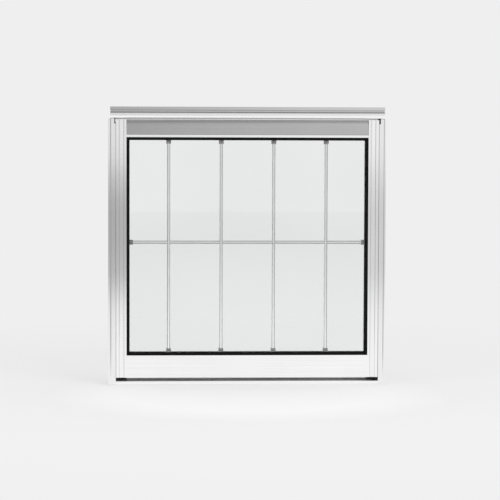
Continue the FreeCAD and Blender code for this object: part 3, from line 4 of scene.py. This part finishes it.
import bpy
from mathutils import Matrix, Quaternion, Vector


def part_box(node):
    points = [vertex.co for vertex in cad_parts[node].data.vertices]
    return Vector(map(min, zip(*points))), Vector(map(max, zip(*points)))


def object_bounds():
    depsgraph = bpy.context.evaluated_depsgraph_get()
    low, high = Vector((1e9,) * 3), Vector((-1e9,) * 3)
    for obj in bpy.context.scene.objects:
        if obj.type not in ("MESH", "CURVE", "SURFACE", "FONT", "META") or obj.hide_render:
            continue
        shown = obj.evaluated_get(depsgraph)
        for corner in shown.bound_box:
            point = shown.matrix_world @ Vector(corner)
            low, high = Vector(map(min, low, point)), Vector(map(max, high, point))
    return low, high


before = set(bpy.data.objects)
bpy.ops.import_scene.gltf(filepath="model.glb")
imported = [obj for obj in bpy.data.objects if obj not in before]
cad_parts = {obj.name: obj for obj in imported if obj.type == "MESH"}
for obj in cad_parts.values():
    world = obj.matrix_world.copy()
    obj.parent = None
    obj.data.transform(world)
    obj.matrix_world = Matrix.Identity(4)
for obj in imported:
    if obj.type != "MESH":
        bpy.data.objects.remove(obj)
CAD_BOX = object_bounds()

# camera: distances in metres, turns in radians
LONG_LENS_DISTANCE = 5.5
VIEW_WIDTH = 1.3465
CAMERA_YAW = math.radians(2.9)
CAMERA_PITCH = math.radians(3.3)
CAMERA_ROLL = math.radians(0.18)
TARGET = Vector((0.0065, 0.0, 0.3658))

# die lines of an extrusion, cells to a metre
LINES_ALONG_BAR = 2.0
LINES_ACROSS_BAR = 420.0
DIE_LINES = {
    "X": (LINES_ALONG_BAR, LINES_ACROSS_BAR, LINES_ACROSS_BAR),
    "Z": (LINES_ACROSS_BAR, LINES_ACROSS_BAR, LINES_ALONG_BAR),
}

# painted shade in the head's groove and on the top rail under the head, in metres: its lowest and
# highest level from the piece's top, how far it fades in at each, the depth from outdoors that it
# reaches, and the share of the metal's colour it leaves
HEAD_PAINTED_SHADE = {"low": -0.0215, "high": -0.0075, "fade_low": 0.0085, "fade_high": 0.0012,
             "deepest": 0.0, "share": 0.58}
TOP_RAIL_PAINTED_SHADE = {"low": -0.0150, "high": 0.01, "fade_low": 0.0150, "fade_high": 0.0010,
                 "deepest": 0.014, "share": 0.40}

# greys of the backdrop and of a painted pool of light, a paler round patch of floor at the
# window's
# foot: its scale is one over its radius in metres, its shift brings it that many radii towards
# the viewer, and its grey is full from that share of the way in
BACKGROUND = 0.863
FOOT_GLOW_GREY = 0.93
FOOT_GLOW_SCALE = 1.9
FOOT_GLOW_SHIFT = 0.35
FOOT_GLOW_EDGE = 0.35

# floor, in metres: half its width, how far it lies under the window, how far out its shadow is
# kept, and how much of real shading that takes near the window
FLOOR_HALF = 12.0
FLOOR_DROP = 0.0005
SHADOW_REACH = 2.0
SHADOW_SHARE = 0.55

# floor as metal mirrors it: bright in the middle, dimmer out at the sides, which lie further out
# the nearer the floor is to the viewer
MIRRORED_FLOOR = 1.0
METAL_FLOOR_SIDES = (0.45, 0.90)
METAL_FLOOR_SIDE_SHARE = 0.4
METAL_FLOOR_SPREAD = 0.35
FLOOR_SECOND_BOUNCE = 0.75

# floor as glass mirrors it, and as the bars behind the glass do: near and far tone and distance
GLASS_FLOOR = (0.02, 0.60)
GLASS_FLOOR_AWAY = (7.0, 12.0)
BAR_FLOOR = (1.3, 0.70)
BAR_FLOOR_AWAY = (1.0, 6.5)

# studio as metal mirrors it: grey by height of direction (0.5 is the horizon), towards the dim
# and the bright side, which change over within a narrow turn, and are dimmer at the wings
DIM_SIDE = ((0.0, 0.93), (0.505, 0.93), (0.53, 0.74), (0.56, 0.33), (0.61, 0.35), (0.66, 0.42),
            (0.78, 0.38), (0.95, 0.36), (1.0, 0.36))
BRIGHT_SIDE = ((0.0, 1.0), (0.505, 1.0), (0.53, 0.86), (0.56, 0.48), (0.61, 0.52), (0.66, 0.68),
               (0.78, 0.64), (0.95, 0.60), (1.0, 0.56))
SIDE_CHANGE = (-0.02, 0.10)
WINGS = (0.30, 0.62)
WING_SHARE = 0.5
STUDIO_SECOND_BOUNCE = 0.5
WORLD_LIGHT = 0.80

# grey card in front of the window: greys from its left to its right, and its edges in metres
CARD_TONES = ((0.2, 0.44), (0.45, 0.50), (0.56, 0.64), (0.9, 0.70))
CARD_DEPTH = -2.8
CARD_SIDES = (-1.8, 1.2)
CARD_LEVELS = (0.035, 0.52)


# ---------------------------------------------------------------- shader helpers

def new_material(name):
    """Empty node material."""
    material = bpy.data.materials.new(name)
    material.use_nodes = True
    material.node_tree.nodes.clear()
    return material


class Graph:
    """Short way to add and link shader nodes."""

    def __init__(self, tree):
        self.tree = tree

    def add(self, kind, **inputs):
        """Node of one kind, with plain values or sockets on its named inputs."""
        node = self.tree.nodes.new(kind)
        for name, given in inputs.items():
            socket = name.replace("_", " ")
            if isinstance(given, bpy.types.NodeSocket):
                self.tree.links.new(given, node.inputs[socket])
            else:
                node.inputs[socket].default_value = given
        return node

    def place(self):
        """Object coordinates."""
        return self.add("ShaderNodeTexCoord").outputs["Object"]

    def coords(self, scale, offset=(0, 0, 0)):
        """Object coordinates stretched by a scale, then moved."""
        mapping = self.add("ShaderNodeMapping", Vector=self.place())
        mapping.inputs["Scale"].default_value = scale
        mapping.inputs["Location"].default_value = offset
        return mapping.outputs["Vector"]

    def split(self, vector):
        """X, Y and Z sockets of a vector."""
        return self.add("ShaderNodeSeparateXYZ", Vector=vector).outputs

    def noise(self, vector, detail=3.0, roughness=0.5):
        """Noise with cells one unit wide."""
        return self.add("ShaderNodeTexNoise", Vector=vector, Scale=1.0, Detail=detail,
                        Roughness=roughness).outputs["Fac"]

    def mottle(self, scale, detail=3.0, roughness=0.5):
        """Even noise with the same number of cells to a metre each way."""
        return self.noise(self.coords((scale,) * 3), detail, roughness)

    def ball(self, scale, offset=(0, 0, 0)):
        """Falls from 1 in the middle to 0 at a distance of one over the scale."""
        node = self.add("ShaderNodeTexGradient", Vector=self.coords((scale,) * 3, offset))
        node.gradient_type = "SPHERICAL"
        return node.outputs["Fac"]

    def ramp(self, factor, *stops):
        """Colour ramp with (position, grey or colour) stops."""
        node = self.add("ShaderNodeValToRGB", Fac=factor)
        elements = node.color_ramp.elements
        while len(elements) < len(stops):
            elements.new(0.5)
        for element, (position, colour) in zip(elements, stops):
            element.position = position
            if isinstance(colour, (int, float)):
                colour = (colour, colour, colour)
            element.color = (*colour, 1.0)
        return node.outputs["Color"]

    def span(self, value, low, high, at_low, at_high):
        """Straight-line change between two values, held level outside them."""
        node = self.add("ShaderNodeMapRange", Value=value)
        for socket, given in (("From Min", low), ("From Max", high), ("To Min", at_low),
                              ("To Max", at_high)):
            node.inputs[socket].default_value = given
        return node.outputs["Result"]

    def remap(self, factor, low, high):
        """Stretch 0 to 1 over a range."""
        return self.span(factor, 0.0, 1.0, low, high)

    def math(self, operation, *values):
        """Math node on sockets and plain numbers."""
        node = self.tree.nodes.new("ShaderNodeMath")
        node.operation = operation
        for socket, given in zip(node.inputs, values):
            if isinstance(given, bpy.types.NodeSocket):
                self.tree.links.new(given, socket)
            else:
                socket.default_value = given
        return node.outputs[0]

    def multiplied(self, first, second):
        """Two colours multiplied."""
        node = self.add("ShaderNodeMixRGB", Fac=1.0, Color1=first, Color2=second)
        node.blend_type = "MULTIPLY"
        return node.outputs["Color"]

    def mix_shaders(self, factor, first, second):
        """First shader at factor 0, second at factor 1."""
        node = self.add("ShaderNodeMixShader", Fac=factor)
        self.tree.links.new(first, node.inputs[1])
        self.tree.links.new(second, node.inputs[2])
        return node.outputs[0]

    def painted_shade_band(self, colour, top, low, high, fade_low, fade_high, deepest, share):
        """Painted shade: darken a band of levels in patches, on the outdoor side only."""
        place = self.split(self.place())
        above = self.span(place["Z"], top + low, top + low + fade_low, 0.0, 1.0)
        below = self.span(place["Z"], top + high - fade_high, top + high, 1.0, 0.0)
        outdoors = self.math("LESS_THAN", place["Y"], deepest)
        patches = self.remap(self.mottle(30.0), 0.85, 1.1)
        amount = self.math("MULTIPLY", self.math("MULTIPLY", above, below),
                           self.math("MULTIPLY", patches, outdoors))
        darkened = self.multiplied(colour, (share,) * 3 + (1.0,))
        return self.add("ShaderNodeMixRGB", Fac=amount, Color1=colour,
                        Color2=darkened).outputs["Color"]

    def bump(self, height, strength, distance):
        """Normal of a fine relief; the distance is in metres."""
        return self.add("ShaderNodeBump", Height=height, Strength=strength,
                        Distance=distance).outputs["Normal"]

    def emission(self, grey, strength):
        """Glow of one grey, at a plain or linked strength."""
        return self.add("ShaderNodeEmission", Color=(grey,) * 3 + (1.0,),
                        Strength=strength).outputs[0]

    def output(self, shader):
        """Link the finished surface."""
        node = self.add("ShaderNodeOutputMaterial")
        self.tree.links.new(shader, node.inputs["Surface"])


# ---------------------------------------------------------------- materials

def extruded_aluminium(name, along, tone=0.92, rough=(0.11, 0.17), streak=0.04, shade_paint=None):
    """Clear anodised extrusion: fine die lines along the bar and a faint cloudiness."""
    material = new_material(name)
    graph = Graph(material.node_tree)
    lines = graph.noise(graph.coords(DIE_LINES[along]), 4.0, 0.6)
    clouds = graph.mottle(7.0, 4.0, 0.55)
    colour = graph.multiplied(graph.ramp(lines, (0.25, tone - streak), (0.75, tone + streak)),
                              graph.ramp(clouds, (0.3, 0.96), (0.7, 1.0)))
    # painted shade in the head's groove and on the top rail under the head, where a band is given
    if shade_paint:
        colour = graph.painted_shade_band(colour, **shade_paint)
    shader = graph.add(
        "ShaderNodeBsdfPrincipled",
        Base_Color=colour,
        Metallic=1.0,
        Roughness=graph.remap(clouds, *rough),
        Normal=graph.bump(lines, 0.12, 0.0002),
    )
    graph.output(shader.outputs["BSDF"])
    return material


def plated_steel(name, tone, rough=(0.3, 0.45)):
    """Zinc plated steel with a mottled dulling."""
    material = new_material(name)
    graph = Graph(material.node_tree)
    grain = graph.mottle(90.0, 5.0, 0.6)
    fine = graph.mottle(900.0)
    shader = graph.add(
        "ShaderNodeBsdfPrincipled",
        Base_Color=graph.ramp(grain, (0.3, tone * 0.86), (0.7, tone)),
        Metallic=1.0,
        Roughness=graph.remap(grain, *rough),
        Normal=graph.bump(fine, 0.08, 0.0001),
    )
    graph.output(shader.outputs["BSDF"])
    return material


def moulded(name, grey, rough=(0.4, 0.55), grain_scale=1400.0, bump=0.1, gloss=0.5):
    """Moulded plastic or extruded rubber with a fine surface grain."""
    material = new_material(name)
    graph = Graph(material.node_tree)
    grain = graph.mottle(grain_scale)
    patches = graph.mottle(25.0)
    shader = graph.add(
        "ShaderNodeBsdfPrincipled",
        Base_Color=graph.ramp(patches, (0.3, grey * 0.82), (0.7, grey)),
        Roughness=graph.remap(patches, *rough),
        Normal=graph.bump(grain, bump, 0.0001),
        Specular_IOR_Level=gloss,
    )
    graph.output(shader.outputs["BSDF"])
    return material


def painted(name, colour):
    """Satin baked enamel with a slight orange peel."""
    material = new_material(name)
    graph = Graph(material.node_tree)
    peel = graph.mottle(240.0, 2.0)
    patches = graph.mottle(18.0)
    dark = tuple(channel * 0.95 for channel in colour)
    shader = graph.add(
        "ShaderNodeBsdfPrincipled",
        Base_Color=graph.ramp(patches, (0.3, dark), (0.7, colour)),
        Roughness=graph.remap(patches, 0.28, 0.36),
        Normal=graph.bump(peel, 0.08, 0.0003),
    )
    graph.output(shader.outputs["BSDF"])
    return material


def window_glass(name):
    """Clear float glass that lets the studio light through to the bars inside."""
    material = new_material(name)
    graph = Graph(material.node_tree)
    wave = graph.mottle(3.0, 2.0, 0.4)
    shader = graph.add(
        "ShaderNodeBsdfPrincipled",
        Base_Color=graph.ramp(wave, (0.3, (0.955, 0.962, 0.96)), (0.7, (0.97, 0.975, 0.973))),
        Roughness=0.0,
        IOR=1.5,
        Normal=graph.bump(wave, 0.02, 0.0004),
        Transmission_Weight=1.0,
    )
    clear = graph.add("ShaderNodeBsdfTransparent", Color=(0.94, 0.95, 0.95, 1.0))
    path = graph.add("ShaderNodeLightPath")
    graph.output(graph.mix_shaders(path.outputs["Is Shadow Ray"], shader.outputs["BSDF"],
                                   clear.outputs["BSDF"]))
    return material


def finishes():
    """Which finish each CAD node wears."""
    head_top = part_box("head_rail")[1][2]
    rail_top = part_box("top_rail")[1][2]
    upright = extruded_aluminium("anodised_upright", "Z")
    level = extruded_aluminium("anodised_level", "X")
    # the head's groove and the top rail's upper edge get a band of painted shade
    head = extruded_aluminium("anodised_head", "X", shade_paint={"top": head_top, **HEAD_PAINTED_SHADE})
    top_rail = extruded_aluminium("anodised_top_rail", "X",
                                  shade_paint={"top": rail_top, **TOP_RAIL_PAINTED_SHADE})
    jamb = extruded_aluminium("anodised_jamb", "Z", tone=0.87)
    muntin_up = extruded_aluminium("muntin_upright", "Z", tone=0.80, rough=(0.16, 0.22))
    muntin_level = extruded_aluminium("muntin_level", "X", tone=0.80, rough=(0.16, 0.22))
    spacer = extruded_aluminium("spacer_mill", "X", tone=0.62, rough=(0.35, 0.5))
    plated = plated_steel("plated_steel", 0.68)
    gear = plated_steel("gear_steel", 0.66, rough=(0.28, 0.42))
    screw = plated_steel("screw_steel", 0.6, rough=(0.22, 0.34))
    bronze = plated_steel("bush_bronze", 0.5)
    gasket = moulded("gasket_rubber", 0.004, rough=(0.5, 0.65), gloss=0.15)
    seal = moulded("seal_rubber", 0.045, rough=(0.55, 0.7))
    pale_seal = moulded("seal_grey", 0.42, rough=(0.55, 0.7))
    plug = moulded("plug_plastic", 0.005, rough=(0.5, 0.6), gloss=0.2)
    clip = moulded("clip_plastic", 0.30, rough=(0.35, 0.5))
    shoe = moulded("shoe_plastic", 0.05, rough=(0.35, 0.45))
    knob = moulded("knob_plastic", 0.03, rough=(0.2, 0.3), grain_scale=700.0, bump=0.05)
    enamel = painted("operator_enamel", (0.62, 0.63, 0.64))
    glass = window_glass("window_glass")
    table = {
        jamb: ["jamb_left", "jamb_right"],
        upright: ["stile_left", "stile_right", "bead_left", "bead_right"],
        head: ["head_rail"],
        top_rail: ["top_rail"],
        level: ["head_end_caps", "sill_rail", "bottom_rail", "bead_top", "bead_bottom"],
        muntin_up: [f"muntin_upright_{number}" for number in range(1, 5)],
        muntin_level: ["muntin_crossbar"],
        spacer: ["spacer_frame"],
        plated: ["track_left", "track_right", "support_arm_left", "support_arm_right",
                 "support_studs", "sash_pivots"],
        gear: ["gear_arm_left", "gear_arm_right", "link_left", "link_right", "worm_shaft",
               "gear_posts", "operator_base", "sash_bracket", "swivel_block"],
        screw: ["frame_screws", "track_rivets", "operator_screws", "sash_screws",
                "bracket_screws", "crank_fasteners"],
        bronze: ["worm_bush"],
        gasket: ["gasket_left", "gasket_right", "gasket_top", "gasket_bottom"],
        seal: ["weatherstrip_head", "weatherstrip_sill", "glazing_tape"],
        pale_seal: ["weatherstrip_jambs"],
        plug: ["end_plugs", "setting_blocks"],
        clip: ["muntin_clips"],
        shoe: ["shoe_left", "shoe_right"],
        knob: ["knob"],
        enamel: ["operator_cover", "crank_handle"],
        glass: ["outer_pane", "inner_pane"],
    }
    return {node: material for material, nodes in table.items() for node in nodes}


def dress():
    """Put the finishes on the CAD nodes."""
    wanted = finishes()
    for node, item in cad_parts.items():
        for slot in item.material_slots:
            slot.material = wanted[node]


# ---------------------------------------------------------------- studio

def mirrored(graph, path, times):
    """1 on a ray that has met that many mirrors or more, else 0."""
    return graph.math("GREATER_THAN", path.outputs["Glossy Depth"], times - 0.5)


def deep_dimming(graph, path, share):
    """Metal seen in metal meets a dimmer studio, as grooves and gaps do."""
    return graph.math("MULTIPLY_ADD", mirrored(graph, path, 2), share - 1.0, 1.0)


def studio_world():
    """White light all round; the eye sees the pale backdrop, metal sees a graded studio."""
    world = bpy.data.worlds.new("studio")
    bpy.context.scene.world = world
    world.use_nodes = True
    world.node_tree.nodes.clear()
    graph = Graph(world.node_tree)
    path = graph.add("ShaderNodeLightPath")
    seen = graph.math("MAXIMUM", path.outputs["Is Camera Ray"],
                      path.outputs["Is Transmission Ray"])
    direction = graph.split(graph.add("ShaderNodeTexCoord").outputs["Generated"])
    height = graph.math("MULTIPLY_ADD", direction["Z"], 0.5, 0.5)
    across = graph.span(direction["X"], *SIDE_CHANGE, 0.0, 1.0)
    graded = graph.add("ShaderNodeMixRGB", Fac=across, Color1=graph.ramp(height, *DIM_SIDE),
                       Color2=graph.ramp(height, *BRIGHT_SIDE))
    wings = graph.span(graph.math("ABSOLUTE", direction["X"]), *WINGS, 1.0, WING_SHARE)
    strength = graph.math("MULTIPLY", wings, deep_dimming(graph, path, STUDIO_SECOND_BOUNCE))
    light = graph.add("ShaderNodeBackground", Color=(1, 1, 1, 1), Strength=WORLD_LIGHT)
    mirror = graph.add("ShaderNodeBackground", Color=graded.outputs["Color"], Strength=strength)
    shown = graph.add("ShaderNodeBackground", Color=(BACKGROUND,) * 3 + (1.0,), Strength=1.0)
    lit = graph.mix_shaders(path.outputs["Is Glossy Ray"], light.outputs[0], mirror.outputs[0])
    both = graph.mix_shaders(seen, lit, shown.outputs[0])
    out = graph.add("ShaderNodeOutputWorld")
    graph.tree.links.new(both, out.inputs["Surface"])


def plane(name, corners, material):
    """Flat four-sided piece of the studio."""
    mesh = bpy.data.meshes.new(name)
    mesh.from_pydata([Vector(corner) for corner in corners], [], [(0, 1, 2, 3)])
    mesh.materials.append(material)
    item = bpy.data.objects.new(name, mesh)
    bpy.context.collection.objects.link(item)
    return item


def floor():
    """Large pale floor that shows the backdrop colour, with a painted pool of light at the
    window's foot, and keeps the window's shadow.

    Metal mirrors it bright, dimmer out at the sides. Glass mirrors it dim near the window, and
    the bars behind the glass mirror it bright there.
    """
    material = new_material("floor_pale")
    graph = Graph(material.node_tree)
    path = graph.add("ShaderNodeLightPath")
    place = graph.split(graph.place())
    away = graph.math("MULTIPLY", place["Y"], -1.0)

    # painted pool of light: the floor's grey is paler round the window's foot
    foot = graph.ball(FOOT_GLOW_SCALE, (0, FOOT_GLOW_SHIFT, 0))
    pale = graph.ramp(foot, (0.0, BACKGROUND), (FOOT_GLOW_EDGE, FOOT_GLOW_GREY))
    diffuse = graph.add("ShaderNodeBsdfDiffuse", Color=pale).outputs[0]
    plain = graph.add("ShaderNodeEmission", Color=pale, Strength=1.0).outputs[0]
    shaded = graph.remap(graph.ball(1.0 / SHADOW_REACH), 0.0, SHADOW_SHARE)
    to_eye = graph.mix_shaders(shaded, plain, diffuse)

    spread = graph.math("MULTIPLY", graph.math("MAXIMUM", away, 0.0), -METAL_FLOOR_SPREAD)
    sideways = graph.math("ADD", graph.math("ABSOLUTE", place["X"]), spread)
    sides = graph.span(sideways, *METAL_FLOOR_SIDES, 1.0, METAL_FLOOR_SIDE_SHARE)
    dimmed = graph.math("MULTIPLY", sides, deep_dimming(graph, path, FLOOR_SECOND_BOUNCE))
    in_metal = graph.emission(MIRRORED_FLOOR, dimmed)
    in_glass = graph.emission(1.0, graph.span(away, *GLASS_FLOOR_AWAY, *GLASS_FLOOR))
    behind_glass = graph.emission(1.0, graph.span(away, *BAR_FLOOR_AWAY, *BAR_FLOOR))

    inside = graph.math("MULTIPLY", path.outputs["Is Transmission Ray"],
                        mirrored(graph, path, 1))
    reflected = graph.math("MULTIPLY", path.outputs["Is Glossy Ray"],
                           path.outputs["Is Reflection Ray"])
    seen = graph.math("MAXIMUM", path.outputs["Is Camera Ray"],
                      path.outputs["Is Transmission Ray"])
    seen = graph.math("MAXIMUM", seen, path.outputs["Is Glossy Ray"])
    in_mirror = graph.mix_shaders(path.outputs["Is Singular Ray"], in_metal, in_glass)
    shown = graph.mix_shaders(inside, to_eye, behind_glass)
    shown = graph.mix_shaders(reflected, shown, in_mirror)
    graph.output(graph.mix_shaders(seen, diffuse, shown))

    level = CAD_BOX[0][2] - FLOOR_DROP
    corners = [(-FLOOR_HALF, -FLOOR_HALF, level), (FLOOR_HALF, -FLOOR_HALF, level),
               (FLOOR_HALF, FLOOR_HALF, level), (-FLOOR_HALF, FLOOR_HALF, level)]
    plane("studio_floor", corners, material)


def grey_flag():
    """Grey card low in front of the window, seen only in the metal's reflections."""
    material = new_material("flag_grey")
    graph = Graph(material.node_tree)
    across = graph.math("MULTIPLY_ADD", graph.split(graph.place())["X"], 0.5, 0.5)
    card = graph.add("ShaderNodeEmission", Color=graph.ramp(across, *CARD_TONES), Strength=1.0)
    clear = graph.add("ShaderNodeBsdfTransparent", Color=(1, 1, 1, 1))
    path = graph.add("ShaderNodeLightPath")
    graph.output(graph.mix_shaders(path.outputs["Is Singular Ray"], card.outputs[0],
                                   clear.outputs[0]))
    left, right = CARD_SIDES
    low, high = CARD_LEVELS
    corners = [(left, CARD_DEPTH, low), (right, CARD_DEPTH, low), (right, CARD_DEPTH, high),
               (left, CARD_DEPTH, high)]
    item = plane("studio_flag", corners, material)
    item.visible_camera = False
    item.visible_diffuse = False
    item.visible_shadow = False
    item.visible_transmission = False


def area_lamp(name, place, aim, size, watts):
    """Rectangular softbox pointed at a place, and hidden from mirrors and through glass."""
    lamp = bpy.data.lights.new(name, "AREA")
    lamp.shape = "RECTANGLE"
    lamp.size, lamp.size_y = size
    lamp.energy = watts
    item = bpy.data.objects.new(name, lamp)
    bpy.context.collection.objects.link(item)
    item.location = place
    item.rotation_euler = (Vector(aim) - Vector(place)).to_track_quat("-Z", "Y").to_euler()
    item.visible_glossy = False
    item.visible_transmission = False


def lights():
    """Soft key from above, in front and to the right, and a weaker fill from the left."""
    middle = (0.0, 0.0, 0.375)
    area_lamp("key_box", place=(1.6, -3.0, 3.0), aim=middle, size=(2.4, 2.0), watts=60.0)
    area_lamp("fill_box", place=(-2.6, -2.4, 1.2), aim=middle, size=(1.6, 1.6), watts=20.0)


def camera():
    """Long lens, slightly left of and above the window."""
    data = bpy.data.cameras.new("view")
    data.sensor_width = 36.0
    data.lens = data.sensor_width * LONG_LENS_DISTANCE / VIEW_WIDTH
    data.clip_end = 100.0
    item = bpy.data.objects.new("view", data)
    bpy.context.collection.objects.link(item)
    across = math.cos(CAMERA_PITCH)
    away = Vector((-math.sin(CAMERA_YAW) * across, -math.cos(CAMERA_YAW) * across,
                   math.sin(CAMERA_PITCH)))
    item.location = TARGET + away * LONG_LENS_DISTANCE
    level = (-away).to_track_quat("-Z", "Y")
    item.rotation_euler = (level @ Quaternion((0.0, 0.0, 1.0), CAMERA_ROLL)).to_euler()
    bpy.context.scene.camera = item


bpy.context.scene.view_settings.view_transform = "Standard"
dress()
studio_world()
floor()
grey_flag()
lights()
camera()
